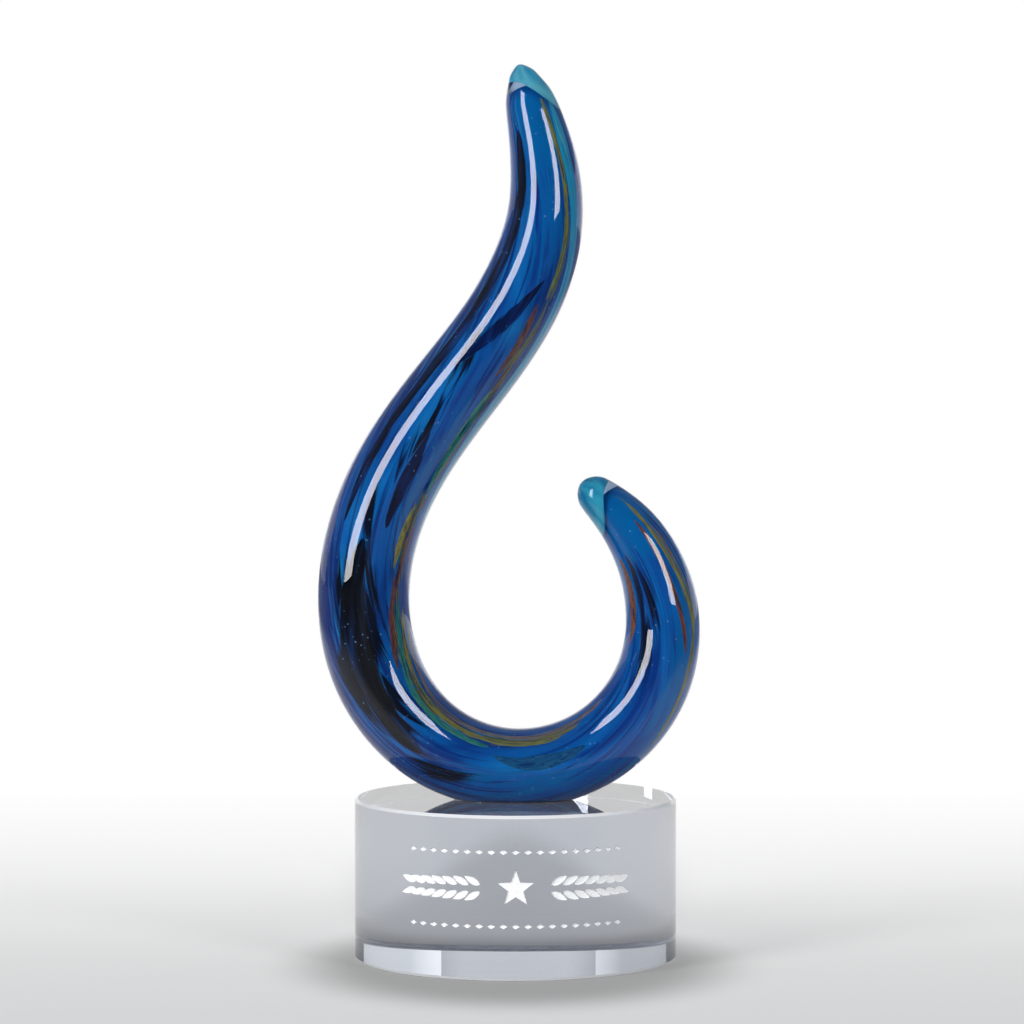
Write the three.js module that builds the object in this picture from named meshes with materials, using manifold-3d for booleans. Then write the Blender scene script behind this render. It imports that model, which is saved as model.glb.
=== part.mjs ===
// Crystal award: a hook of hot-worked coloured glass cased in clear glass, bonded to a clear disc base.
// Millimetres, +Z up. Origin at the centre of the base's underside; the front faces -Y.
import * as THREE from "three";
import { mergeVertices } from "three/addons/utils/BufferGeometryUtils.js";
import Module from "manifold-3d";

// ---- driving dimensions (mm) -------------------------------------------------------------------
const BASE_DIAMETER = 89;
const BASE_HEIGHT = 44.5;
const BASE_BEVEL = 0.8;
const BASE_SIDES = 72;

const BOND_THICKNESS = 0.2;
const BOND_INSET = 0.4; // the adhesive stops this far inside the edge of the ground foot

const HOOK_RISE = 193.2; // lowest point of the rod's centreline to its upper end
const HOOK_FORWARD = 6; // the rod's plane stands this far in front of the base's centre
const ROD_DEPTH_RATIO = 1.12; // front-to-back thickness over side-to-side thickness
const FOOT_GRIND = 2.6; // glass ground off the belly to make the flat foot

const CASING_WALL = 1.5; // clear glass over the coloured glass
const FIT_GAP = 0.15; // between the casing and what it encloses
const CANE_RECESS = 0.4; // canes lie this far under the core's surface
const CANE_GAP = 0.15; // all round a cane in its groove
const CUTTER_PROUD = 1; // a groove's cutter stands this far out of the core
const SEAM_GAP = 0.3; // between the core and the turquoise glass at each end

const UPPER_ROUNDING = 3; // length of the rounding at the rod's ends
const HOOK_ROUNDING = 4.4;
const CORE_START = 7.2; // blue glass begins this far down from the upper end
const CORE_STOP = 7.2; // and ends this far short of the hook's end
const CORE_DOME = 4.6; // the core's rounded ends
const CAP_LENGTH = 10.5; // turquoise glass at the upper end
const HOOK_TIP_LENGTH = 12; // and at the hook's end

const ENGRAVING_DEPTH = 0.3;
const LEAVES_A_SIDE = 7;
const LEAF_LENGTH = 5.2;
const LEAF_WIDTH = 2;
const LEAF_STEP = 3.2; // from leaf to leaf, round the rim
const FIRST_LEAF = 9.6; // from the middle of the star to the nearest leaves
const STAR_RADIUS = 5.2;
const LOZENGE_LENGTH = 2.3;
const LOZENGE_WIDTH = 1.3;
const BORDER_LOZENGES = 19;
const BORDER_STEP = 3.3;

// Centreline of the rod, in its own plane: across from the base's centre and up from the rod's lowest
// point, from the upper end down the stem, round the belly and up the hook.
const CENTRELINE = [
  [0.9, 193.2],
  [5.5, 177.4],
  [8.2, 153.1],
  [0, 127.8],
  [-17.9, 102.7],
  [-34.5, 77.2],
  [-41.6, 51.2],
  [-37, 24.4],
  [-21.9, 6.6],
  [0.6, 0],
  [23.2, 6.8],
  [38, 25.3],
  [39.4, 49],
  [30.2, 67.6],
  [18, 78.8],
];

// Half-width of the rod, side to side, at shares of its length.
const ROD_HALF_WIDTHS = [
  [0, 2],
  [0.012, 4.3],
  [0.028, 6.6],
  [0.05, 7.9],
  [0.1, 9.8],
  [0.2, 11.8],
  [0.35, 12.4],
  [0.5, 12.6],
  [0.6, 11.8],
  [0.68, 11],
  [0.8, 10.7],
  [0.87, 10.1],
  [0.93, 8.4],
  [0.975, 6.1],
  [1, 4.2],
];

// ---- the rod: centreline, frames and swept solids -------------------------------------------------
const ROD_SIDES = 16;
const ROD_STATIONS = 54;
const END_CROWDING = 0.5; // 0 would space the stations evenly
const CANE_STATIONS = 50; // along the whole stretch that canes lie on
const CANE_LEAST_STATIONS = 6;
const CANE_CELL = 6; // a cane's section has two facets for each stretch of this width

// Natural cubic spline through values at rising knots.
function naturalSpline(knots, values) {
  const last = knots.length - 1;
  const gap = (i) => knots[i + 1] - knots[i];
  const slope = (i) => (values[i + 1] - values[i]) / gap(i);
  const diagonal = [1];
  const bend = [0];
  for (let i = 1; i < last; i++) {
    const carry = i === 1 ? 0 : gap(i - 1) / diagonal[i - 1];
    diagonal[i] = 2 * (gap(i - 1) + gap(i)) - carry * (i === 1 ? 0 : gap(i - 1));
    bend[i] = 6 * (slope(i) - slope(i - 1)) - carry * bend[i - 1];
  }
  const second = new Array(last + 1).fill(0);
  for (let i = last - 1; i > 0; i--) second[i] = (bend[i] - gap(i) * second[i + 1]) / diagonal[i];
  return (x) => {
    let i = 0;
    while (i < last - 1 && x > knots[i + 1]) i++;
    const h = gap(i);
    const before = (knots[i + 1] - x) / h;
    const after = (x - knots[i]) / h;
    const curved = (before ** 3 - before) * second[i] + (after ** 3 - after) * second[i + 1];
    return before * values[i] + after * values[i + 1] + (curved * h * h) / 6;
  };
}

// Smooth interpolation without overshoot, for widths.
function monotoneSpline(pairs) {
  const last = pairs.length - 1;
  const slope = (i) => (pairs[i + 1][1] - pairs[i][1]) / (pairs[i + 1][0] - pairs[i][0]);
  const tangent = pairs.map((_, i) => {
    if (i === 0) return slope(0);
    if (i === last) return slope(last - 1);
    const [a, b] = [slope(i - 1), slope(i)];
    return a * b <= 0 ? 0 : (2 * a * b) / (a + b);
  });
  return (x) => {
    let i = 0;
    while (i < last - 1 && x > pairs[i + 1][0]) i++;
    const h = pairs[i + 1][0] - pairs[i][0];
    const t = (x - pairs[i][0]) / h;
    const [t2, t3] = [t * t, t * t * t];
    return (
      (2 * t3 - 3 * t2 + 1) * pairs[i][1] +
      (t3 - 2 * t2 + t) * h * tangent[i] +
      (3 * t2 - 2 * t3) * pairs[i + 1][1] +
      (t3 - t2) * h * tangent[i + 1]
    );
  };
}

const drawnScale = HOOK_RISE / CENTRELINE[0][1];
const spanPoints = CENTRELINE.map(([across, up]) => new THREE.Vector2(across, up).multiplyScalar(drawnScale));
const chord = [0];
spanPoints.slice(1).forEach((p, i) => chord.push(chord[i] + p.distanceTo(spanPoints[i])));
const acrossAt = naturalSpline(chord, spanPoints.map((p) => p.x));
const upAt = naturalSpline(chord, spanPoints.map((p) => p.y));
const halfWidthAt = monotoneSpline(ROD_HALF_WIDTHS);

// Arc length along the spline, so that equal shares are equal lengths.
const ARC_STEPS = 2000;
const arcTable = [0];
for (let i = 1; i <= ARC_STEPS; i++) {
  const [a, b] = [i - 1, i].map((k) => (k / ARC_STEPS) * chord[chord.length - 1]);
  arcTable.push(arcTable[i - 1] + Math.hypot(acrossAt(b) - acrossAt(a), upAt(b) - upAt(a)));
}
const ROD_LENGTH = arcTable[ARC_STEPS];

function parameterAt(length) {
  const wanted = THREE.MathUtils.clamp(length, 0, ROD_LENGTH);
  let low = 0;
  let high = ARC_STEPS;
  while (high - low > 1) {
    const middle = (low + high) >> 1;
    if (arcTable[middle] <= wanted) low = middle;
    else high = middle;
  }
  const within = (wanted - arcTable[low]) / (arcTable[high] - arcTable[low]);
  return ((low + within) / ARC_STEPS) * chord[chord.length - 1];
}

const footZ = BASE_HEIGHT + BOND_THICKNESS;
const lowestShare = (() => {
  let best = 0;
  for (let i = 0; i <= ARC_STEPS; i++) {
    const share = i / ARC_STEPS;
    if (upAt(parameterAt(share * ROD_LENGTH)) < upAt(parameterAt(best * ROD_LENGTH))) best = share;
  }
  return best;
})();
const centrelineBottomZ = footZ + halfWidthAt(lowestShare) - FOOT_GRIND;

// Centre of the rod and its in-plane normal at a length. The normal points to the stem's right and to
// the inside of the loop; the front is -Y all along.
function rodFrame(length) {
  const t = parameterAt(length);
  const nudge = 0.01;
  const tangent = new THREE.Vector2(
    acrossAt(t + nudge) - acrossAt(t - nudge),
    upAt(t + nudge) - upAt(t - nudge),
  ).normalize();
  return {
    centre: new THREE.Vector3(acrossAt(t), -HOOK_FORWARD, centrelineBottomZ + upAt(t)),
    normal: new THREE.Vector3(-tangent.y, 0, tangent.x),
  };
}

// A point in the rod: at an angle round the section (0 = normal, 90 = front), `under` mm below the skin,
// and `scale` towards the centreline for rounded ends.
function rodPoint(length, degrees, under, scale = 1) {
  const { centre, normal } = rodFrame(length);
  const halfWidth = (halfWidthAt(length / ROD_LENGTH) - under) * scale;
  const halfDepth = (halfWidthAt(length / ROD_LENGTH) * ROD_DEPTH_RATIO - under) * scale;
  const angle = THREE.MathUtils.degToRad(degrees);
  return centre
    .addScaledVector(normal, halfWidth * Math.cos(angle))
    .add(new THREE.Vector3(0, -halfDepth * Math.sin(angle), 0));
}

// Closed mesh from rings of equal length, with a pole at each end.
function skin(rings, firstPole, lastPole) {
  const count = rings[0].length;
  const points = [...rings.flat(), firstPole, lastPole];
  const index = [];
  rings.slice(1).forEach((_, i) => {
    for (let k = 0; k < count; k++) {
      const [a, b] = [i * count + k, i * count + ((k + 1) % count)];
      index.push(a, b, a + count, b, b + count, a + count);
    }
  });
  const [first, last] = [points.length - 2, points.length - 1];
  const tail = (rings.length - 1) * count;
  for (let k = 0; k < count; k++) {
    index.push(first, (k + 1) % count, k);
    index.push(last, tail + k, tail + ((k + 1) % count));
  }
  return new THREE.BufferGeometry().setFromPoints(points).setIndex(index);
}

const ringAngles = Array.from({ length: ROD_SIDES }, (_, k) => (360 * k) / ROD_SIDES);

// Stations along the rod, closer together towards its ends, and shared by all that is swept along it, so
// that faceted skins stay nested.
const stationLengths = Array.from({ length: ROD_STATIONS + 1 }, (_, i) => {
  const share = i / ROD_STATIONS;
  return ROD_LENGTH * (share - (END_CROWDING * Math.sin(2 * Math.PI * share)) / (2 * Math.PI));
});

// The rod between two lengths, `under` mm below its skin, with rounded (or flat, length 0) ends.
function rodSolid({ from, to, under, roundFrom, roundTo }) {
  const domeSteps = [0.05, 0.35, 1];
  const own = roundFrom ? domeSteps.map((step) => from + step * roundFrom) : [from];
  own.push(...(roundTo ? domeSteps.map((step) => to - step * roundTo) : [to]));
  const between = stationLengths.filter((length) => own.every((mine) => Math.abs(length - mine) > 0.1));
  const lengths = [...own, ...between.filter((length) => length > own[0] && length < to)]
    .filter((length) => length <= to - (roundTo ? domeSteps[0] * roundTo : 0) + 1e-9)
    .sort((a, b) => a - b);
  const round = (distance, reach) => (distance >= reach ? 1 : Math.sqrt(1 - (1 - distance / reach) ** 2));
  const rings = lengths.map((length) => {
    const scale = Math.min(round(length - from, roundFrom), round(to - length, roundTo));
    return ringAngles.map((angle) => rodPoint(length, angle, under, scale));
  });
  return skin(rings, rodFrame(from).centre, rodFrame(to).centre);
}

// ---- solids and booleans --------------------------------------------------------------------------
const wasm = await Module();
wasm.setup();

function solid(geometry) {
  const bare = geometry.clone();
  bare.deleteAttribute("normal");
  bare.deleteAttribute("uv");
  const merged = mergeVertices(bare, 1e-5);
  return new wasm.Manifold(
    new wasm.Mesh({
      numProp: 3,
      vertProperties: merged.attributes.position.array,
      triVerts: new Uint32Array(merged.index.array),
    }),
  );
}

function geometryOf(manifold) {
  const mesh = manifold.getMesh();
  return new THREE.BufferGeometry()
    .setAttribute("position", new THREE.BufferAttribute(mesh.vertProperties, 3))
    .setIndex(new THREE.BufferAttribute(mesh.triVerts, 1));
}

// Everything below a height, wide enough to take in the whole object.
function below(height) {
  const reach = 4 * (BASE_DIAMETER + HOOK_RISE);
  return solid(new THREE.BoxGeometry(reach, reach, reach).translate(0, 0, height - reach / 2));
}

// ---- base and bond ----------------------------------------------------------------------------------
const baseRadius = BASE_DIAMETER / 2;

function lozenge(length, width) {
  return new THREE.Shape([
    new THREE.Vector2(-length / 2, 0),
    new THREE.Vector2(0, -width / 2),
    new THREE.Vector2(length / 2, 0),
    new THREE.Vector2(0, width / 2),
  ]);
}

function leaf(length, width) {
  return new THREE.Shape([
    new THREE.Vector2(0, 0),
    new THREE.Vector2(0.3 * length, -0.44 * width),
    new THREE.Vector2(0.65 * length, -0.4 * width),
    new THREE.Vector2(length, 0),
    new THREE.Vector2(0.65 * length, 0.4 * width),
    new THREE.Vector2(0.3 * length, 0.44 * width),
  ]);
}

function star(radius) {
  const corners = Array.from({ length: 10 }, (_, i) => {
    const reach = i % 2 ? 0.42 * radius : radius;
    const angle = Math.PI / 2 + (i * Math.PI) / 5;
    return new THREE.Vector2(reach * Math.cos(angle), reach * Math.sin(angle));
  });
  return new THREE.Shape(corners);
}

// A shape pressed into the front of the base at a distance round the rim and a height, turned in place.
function pressed(shape, along, height, turn = 0) {
  const cutter = new THREE.ExtrudeGeometry(shape, { depth: 1 + ENGRAVING_DEPTH, bevelEnabled: false });
  cutter
    .rotateZ(turn)
    .rotateX(Math.PI / 2) // the shape faces -Y and its up is +Z
    .translate(0, -(baseRadius - ENGRAVING_DEPTH), height)
    .rotateZ(along / baseRadius);
  return solid(cutter);
}

// Generic engraving: a star between two laurel sprays, with a row of lozenges above and below.
function engraving() {
  const middle = BASE_HEIGHT * 0.56;
  const cutters = [pressed(star(STAR_RADIUS), 0, middle)];
  for (const side of [-1, 1]) {
    for (let i = 0; i < LEAVES_A_SIDE; i++) {
      const along = side * (FIRST_LEAF + i * LEAF_STEP);
      const outward = side > 0 ? 0 : Math.PI;
      const lean = (side * (28 - i * 2) * Math.PI) / 180;
      cutters.push(pressed(leaf(LEAF_LENGTH, LEAF_WIDTH), along, middle + 0.9, outward + lean));
      cutters.push(pressed(leaf(LEAF_LENGTH, LEAF_WIDTH), along, middle - 0.9, outward - lean));
    }
  }
  for (let i = 0; i < BORDER_LOZENGES; i++) {
    const along = (i - (BORDER_LOZENGES - 1) / 2) * BORDER_STEP;
    for (const height of [BASE_HEIGHT * 0.78, BASE_HEIGHT * 0.33])
      cutters.push(pressed(lozenge(LOZENGE_LENGTH, LOZENGE_WIDTH), along, height));
  }
  return cutters;
}

function crystalBase() {
  const rim = baseRadius - BASE_BEVEL;
  const profile = [
    new THREE.Vector2(0, 0),
    new THREE.Vector2(rim, 0),
    new THREE.Vector2(baseRadius, BASE_BEVEL),
    new THREE.Vector2(baseRadius, BASE_HEIGHT - BASE_BEVEL),
    new THREE.Vector2(rim, BASE_HEIGHT),
    new THREE.Vector2(0, BASE_HEIGHT),
  ];
  const disc = solid(new THREE.LatheGeometry(profile, BASE_SIDES).rotateX(Math.PI / 2));
  return geometryOf(engraving().reduce((base, cutter) => base.subtract(cutter), disc));
}

// Half-length and half-depth of the flat that grinding leaves on the belly.
function footExtent(under) {
  const radiusDown = halfWidthAt(lowestShare) - under;
  const down = centrelineBottomZ - footZ;
  const half = Math.sqrt(Math.max(0, 1 - (down / radiusDown) ** 2));
  const depth = half * (halfWidthAt(lowestShare) * ROD_DEPTH_RATIO - under);
  const ring = loopRadius + radiusDown;
  const length = Math.sqrt(Math.max(0, ring ** 2 - (loopRadius + down) ** 2));
  return { length, depth };
}

// Radius of the loop's centreline, from its lowest point to its outermost point on the hook's side.
const loopRadius = (() => {
  const lowest = rodFrame(lowestShare * ROD_LENGTH).centre;
  const outermost = Math.max(...spanPoints.map((p) => p.x));
  return outermost - lowest.x;
})();

function bondFilm() {
  const { length, depth } = footExtent(0);
  const centreX = rodFrame(lowestShare * ROD_LENGTH).centre.x;
  const film = new THREE.CylinderGeometry(1, 1, BOND_THICKNESS, 40).rotateX(Math.PI / 2);
  return film
    .scale(length - BOND_INSET, depth - BOND_INSET, 1)
    .translate(centreX, -HOOK_FORWARD, BASE_HEIGHT + BOND_THICKNESS / 2);
}

// ---- cased glass ------------------------------------------------------------------------------------
const coreUnder = CASING_WALL + FIT_GAP;

function casing() {
  const outside = rodSolid({
    from: 0,
    to: ROD_LENGTH,
    under: 0,
    roundFrom: UPPER_ROUNDING,
    roundTo: HOOK_ROUNDING,
  });
  const inside = rodSolid({
    from: CASING_WALL,
    to: ROD_LENGTH - CASING_WALL,
    under: CASING_WALL,
    roundFrom: UPPER_ROUNDING,
    roundTo: HOOK_ROUNDING,
  });
  return geometryOf(solid(outside).subtract(solid(inside)).subtract(below(footZ)));
}

function coreBlank(grow) {
  return rodSolid({
    from: CORE_START - grow,
    to: ROD_LENGTH - CORE_STOP + grow,
    under: coreUnder - grow,
    roundFrom: CORE_DOME,
    roundTo: CORE_DOME,
  });
}

// A cane is a thin ribbon of coloured glass laid along the core, between the turquoise ends. `along` is
// its start and end as shares of that stretch, `angles` its place round the section at even steps from
// start to end, in degrees.
function cane({ along, angles, width, thickness }, grow = 0) {
  const first = CAP_LENGTH + SEAM_GAP;
  const stretch = ROD_LENGTH - HOOK_TIP_LENGTH - SEAM_GAP - first;
  const stations = Math.max(CANE_LEAST_STATIONS, Math.round(CANE_STATIONS * (along[1] - along[0])));
  const cells = 2 * Math.ceil(width / CANE_CELL);
  const angleAt = monotoneSpline(angles.map((angle, i) => [i / (angles.length - 1), angle]));
  const rings = [];
  for (let i = 0; i <= stations; i++) {
    const t = i / stations;
    const endGrow = i === 0 ? -grow : i === stations ? grow : 0;
    const length = first + THREE.MathUtils.lerp(along[0], along[1], t) * stretch + endGrow;
    const taper = 0.2 + 0.8 * Math.sqrt(Math.sin(Math.PI * THREE.MathUtils.clamp(t, 0.02, 0.98)));
    const reach = halfWidthAt(length / ROD_LENGTH) - coreUnder;
    const half = THREE.MathUtils.radToDeg(((width / 2) * taper + grow) / reach);
    const top = grow ? coreUnder - CUTTER_PROUD : coreUnder + CANE_RECESS;
    const bottom = coreUnder + CANE_RECESS + thickness * taper + grow;
    const across = Array.from({ length: cells + 1 }, (_, k) => angleAt(t) + ((2 * k) / cells - 1) * half);
    rings.push([
      ...across.map((angle) => rodPoint(length, angle, top)),
      ...across.reverse().map((angle) => rodPoint(length, angle, bottom)),
    ]);
  }
  const middleOf = (ring) => ring[cells / 2].clone().lerp(ring[cells + 1 + cells / 2], 0.5);
  return skin(rings, middleOf(rings[0]), middleOf(rings[stations]));
}

const CANES = {
  stem_turquoise_stripe: {
    along: [0, 0.46],
    angles: [30, 34, 28, 18, 15, 16, 12, 4, -3, -4],
    width: 2.8,
    thickness: 0.8,
  },
  stem_gold_thread: {
    along: [0, 0.165],
    angles: [55, 52, 49, 45, 46],
    width: 1.1,
    thickness: 0.5,
  },
  stem_rust_ribbon: {
    along: [0.17, 0.24],
    angles: [57, 53, 50, 51],
    width: 1.7,
    thickness: 0.6,
  },
  stem_green_ribbon: {
    along: [0.25, 0.365],
    angles: [42, 39, 35, 30],
    width: 2.1,
    thickness: 0.6,
  },
  belly_yellow_ribbon: {
    along: [0.375, 0.44],
    angles: [42, 43, 44, 45],
    width: 1.8,
    thickness: 0.6,
  },
  belly_rust_ribbon: {
    along: [0.395, 0.54],
    angles: [29, 31, 38, 45, 49, 54],
    width: 1.5,
    thickness: 0.6,
  },
  belly_green_ribbon: {
    along: [0.47, 0.665],
    angles: [32, 35, 42, 49, 50, 49, 50],
    width: 1.5,
    thickness: 0.6,
  },
  belly_gold_ribbon: {
    along: [0.48, 0.74],
    angles: [22, 28, 36, 39, 37, 38, 38],
    width: 1.4,
    thickness: 0.6,
  },
  belly_pink_thread: {
    along: [0.5, 0.8],
    angles: [12, 19, 26, 25, 24, 20, 18],
    width: 1.3,
    thickness: 0.5,
  },
  hook_gold_thread: {
    along: [0.8, 1],
    angles: [155, 146, 145, 148, 141, 131, 128, 131],
    width: 1.1,
    thickness: 0.5,
  },
  hook_rust_ribbon: {
    along: [0.87, 0.985],
    angles: [132, 122, 113, 111, 112],
    width: 1.3,
    thickness: 0.6,
  },
  hook_orange_ribbon: {
    along: [0.87, 0.965],
    angles: [20, 28, 28, 27],
    width: 2.2,
    thickness: 0.6,
  },
  stem_dark_streak: {
    along: [0.02, 0.41],
    angles: [136, 138, 140, 138, 136, 134],
    width: 4.4,
    thickness: 0.9,
  },
  stem_dark_feather: {
    along: [0.15, 0.255],
    angles: [62, 78, 90, 101, 112],
    width: 3.4,
    thickness: 0.7,
  },
  belly_dark_feather: {
    along: [0.31, 0.405],
    angles: [80, 75, 73, 72],
    width: 4.4,
    thickness: 0.7,
  },
  belly_dark_mass: {
    along: [0.415, 0.615],
    angles: [98, 101, 103, 104, 104],
    width: 11.5,
    thickness: 1,
  },
  hook_dark_streak: {
    along: [0.835, 0.965],
    angles: [59, 54, 51, 49, 46],
    width: 2.6,
    thickness: 0.7,
  },
  belly_teal_fold: {
    along: [0.67, 0.76],
    angles: [64, 73, 74, 71],
    width: 4,
    thickness: 0.7,
  },
};

function core() {
  const grooves = Object.values(CANES).map((shape) => solid(cane(shape, CANE_GAP)));
  const blank = solid(coreBlank(0)).subtract(below(footZ));
  return geometryOf(grooves.reduce((left, groove) => left.subtract(groove), blank));
}

// Turquoise glass over one end of the core, hollowed to take the core's dome.
function endGlass(shape) {
  return geometryOf(solid(rodSolid(shape)).subtract(solid(coreBlank(SEAM_GAP))));
}

function turquoiseCap() {
  return endGlass({
    from: coreUnder,
    to: CAP_LENGTH,
    under: coreUnder,
    roundFrom: UPPER_ROUNDING,
    roundTo: 0,
  });
}

function turquoiseHookTip() {
  return endGlass({
    from: ROD_LENGTH - HOOK_TIP_LENGTH,
    to: ROD_LENGTH - coreUnder,
    under: coreUnder,
    roundFrom: 0,
    roundTo: HOOK_ROUNDING,
  });
}

// ---- materials --------------------------------------------------------------------------------------
function glass(color, opacity = 1) {
  const transparent = opacity < 1;
  return new THREE.MeshStandardMaterial({ color, roughness: 0.08, metalness: 0, opacity, transparent });
}

const CLEAR = glass(0xdfe6ef, 0.35);
const BOND = glass(0xd8dde4, 0.5);
const COBALT = glass(0x1550a4);
const TURQUOISE = glass(0x2fa9d3);
const CANE_COLOURS = {
  turquoise: TURQUOISE,
  gold: glass(0xa8a24c),
  yellow: glass(0xc9b23a),
  rust: glass(0x9a5a4e),
  orange: glass(0xb2603f),
  pink: glass(0xb98a86),
  green: glass(0x3e9a86),
  teal: glass(0x2a7f9e),
  dark: glass(0x1e2a3a),
};

// ---- the award --------------------------------------------------------------------------------------
const award = new THREE.Group();
award.name = "crystal_award";

function add(parent, name, geometry, material) {
  const mesh = new THREE.Mesh(geometry, material);
  mesh.name = name;
  parent.add(mesh);
}

add(award, "crystal_base", crystalBase(), CLEAR);
add(award, "bond_film", bondFilm(), BOND);

const hook = new THREE.Group();
hook.name = "glass_hook";
award.add(hook);
add(hook, "clear_casing", casing(), CLEAR);
add(hook, "cobalt_core", core(), COBALT);
add(hook, "turquoise_cap", turquoiseCap(), TURQUOISE);
add(hook, "turquoise_hook_tip", turquoiseHookTip(), TURQUOISE);
for (const [name, shape] of Object.entries(CANES)) {
  const colour = name.split("_").find((word) => word in CANE_COLOURS);
  add(hook, name, cane(shape), CANE_COLOURS[colour]);
}

export default award;
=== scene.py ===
import math

import bmesh
import bpy
import numpy as np
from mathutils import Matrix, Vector


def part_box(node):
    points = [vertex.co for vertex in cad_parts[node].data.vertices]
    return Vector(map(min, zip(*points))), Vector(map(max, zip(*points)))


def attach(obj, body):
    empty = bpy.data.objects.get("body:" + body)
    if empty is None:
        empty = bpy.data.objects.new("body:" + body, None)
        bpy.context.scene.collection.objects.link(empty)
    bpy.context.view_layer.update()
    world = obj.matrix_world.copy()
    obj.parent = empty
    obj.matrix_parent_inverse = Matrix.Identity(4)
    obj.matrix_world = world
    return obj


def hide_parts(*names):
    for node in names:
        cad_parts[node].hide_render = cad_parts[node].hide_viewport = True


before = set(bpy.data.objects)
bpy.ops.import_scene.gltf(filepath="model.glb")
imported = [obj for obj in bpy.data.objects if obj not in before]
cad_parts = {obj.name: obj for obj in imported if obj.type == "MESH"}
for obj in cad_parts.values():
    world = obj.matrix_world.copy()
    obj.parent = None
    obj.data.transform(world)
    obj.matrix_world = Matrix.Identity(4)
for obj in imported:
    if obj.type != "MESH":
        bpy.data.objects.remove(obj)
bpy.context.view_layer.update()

MM = 0.001

# ---- places taken from the frame ----------------------------------------------------------------
base_low, base_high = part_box("crystal_base")
casing_low, casing_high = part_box("clear_casing")
BASE_RADIUS = (base_high[0] - base_low[0]) / 2
BASE_HEIGHT = base_high[2]
FOOT_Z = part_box("bond_film")[1][2]
ROD_Y = (casing_low[1] + casing_high[1]) / 2

# ---- the rod's driving shape, as in the part -----------------------------------------------------
BASE_BEVEL = 0.8 * MM
FOOT_GRIND = 2.6 * MM
ROD_DEPTH_RATIO = 1.12
CASING_WALL = 1.5 * MM
CAP_LENGTH = 10.5 * MM
HOOK_TIP_LENGTH = 12 * MM
SEAM_GAP = 0.3 * MM

# Across from the base's centre and up from the rod's lowest point, in mm, from the upper end.
CENTRELINE = [
    (0.9, 193.2), (5.5, 177.4), (8.2, 153.1), (0, 127.8), (-17.9, 102.7),
    (-34.5, 77.2), (-41.6, 51.2), (-37, 24.4), (-21.9, 6.6), (0.6, 0),
    (23.2, 6.8), (38, 25.3), (39.4, 49), (30.2, 67.6), (18, 78.8),
]
# Half-width of the rod at shares of its length, in mm.
ROD_HALF_WIDTHS = [
    (0, 2.0), (0.012, 4.3), (0.028, 6.6), (0.05, 7.9), (0.1, 9.8),
    (0.2, 11.8), (0.35, 12.4), (0.5, 12.6), (0.6, 11.8), (0.68, 11),
    (0.8, 10.7), (0.87, 10.1), (0.93, 8.4), (0.975, 6.1), (1, 4.2),
]
# Clear glass over the core at shares of the rod's length, in mm: all round, and added on the side that
# the normal points to, where the casing is thickest.
CLEAR_ALL_ROUND = [(0, 1.6), (0.3, 1.5), (1, 1.5)]
CLEAR_ADDED = [(0, 0.3), (0.1, 1), (0.25, 0.9), (0.4, 0.7), (0.62, 1), (0.8, 0.6), (1, 0.2)]


def natural_spline(knots, values):
    """Natural cubic spline through values at rising knots, as a function of an array."""
    knots, values = np.asarray(knots, float), np.asarray(values, float)
    gaps = np.diff(knots)
    count = len(knots)
    system = np.zeros((count, count))
    right = np.zeros(count)
    system[0, 0] = system[-1, -1] = 1
    slopes = np.diff(values) / gaps
    for i in range(1, count - 1):
        system[i, i - 1 : i + 2] = gaps[i - 1], 2 * (gaps[i - 1] + gaps[i]), gaps[i]
        right[i] = 6 * (slopes[i] - slopes[i - 1])
    second = np.linalg.solve(system, right)

    def at(x):
        x = np.asarray(x, float)
        i = np.clip(np.searchsorted(knots, x) - 1, 0, count - 2)
        before = (knots[i + 1] - x) / gaps[i]
        after = (x - knots[i]) / gaps[i]
        curved = (before**3 - before) * second[i] + (after**3 - after) * second[i + 1]
        return before * values[i] + after * values[i + 1] + curved * gaps[i] ** 2 / 6

    return at


def monotone_spline(pairs):
    """Smooth interpolation without overshoot, as a function of an array."""
    knots, values = (np.array(column, float) for column in zip(*pairs))
    gaps = np.diff(knots)
    slopes = np.diff(values) / gaps
    tangents = np.zeros(len(knots))
    tangents[0], tangents[-1] = slopes[0], slopes[-1]
    for i in range(1, len(knots) - 1):
        a, b = slopes[i - 1], slopes[i]
        tangents[i] = 0 if a * b <= 0 else 2 * a * b / (a + b)

    def at(x):
        x = np.asarray(x, float)
        i = np.clip(np.searchsorted(knots, x) - 1, 0, len(knots) - 2)
        t = np.clip((x - knots[i]) / gaps[i], 0, 1)
        return (
            (2 * t**3 - 3 * t**2 + 1) * values[i]
            + (t**3 - 2 * t**2 + t) * gaps[i] * tangents[i]
            + (3 * t**2 - 2 * t**3) * values[i + 1]
            + (t**3 - t**2) * gaps[i] * tangents[i + 1]
        )

    return at


def spread(values):
    """Values at even steps from 0 to 1, as a smooth function."""
    return monotone_spline([(i / (len(values) - 1), v) for i, v in enumerate(values)])


half_width_mm = monotone_spline(ROD_HALF_WIDTHS)
clear_all_round_mm = monotone_spline(CLEAR_ALL_ROUND)
clear_added_mm = monotone_spline(CLEAR_ADDED)

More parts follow.
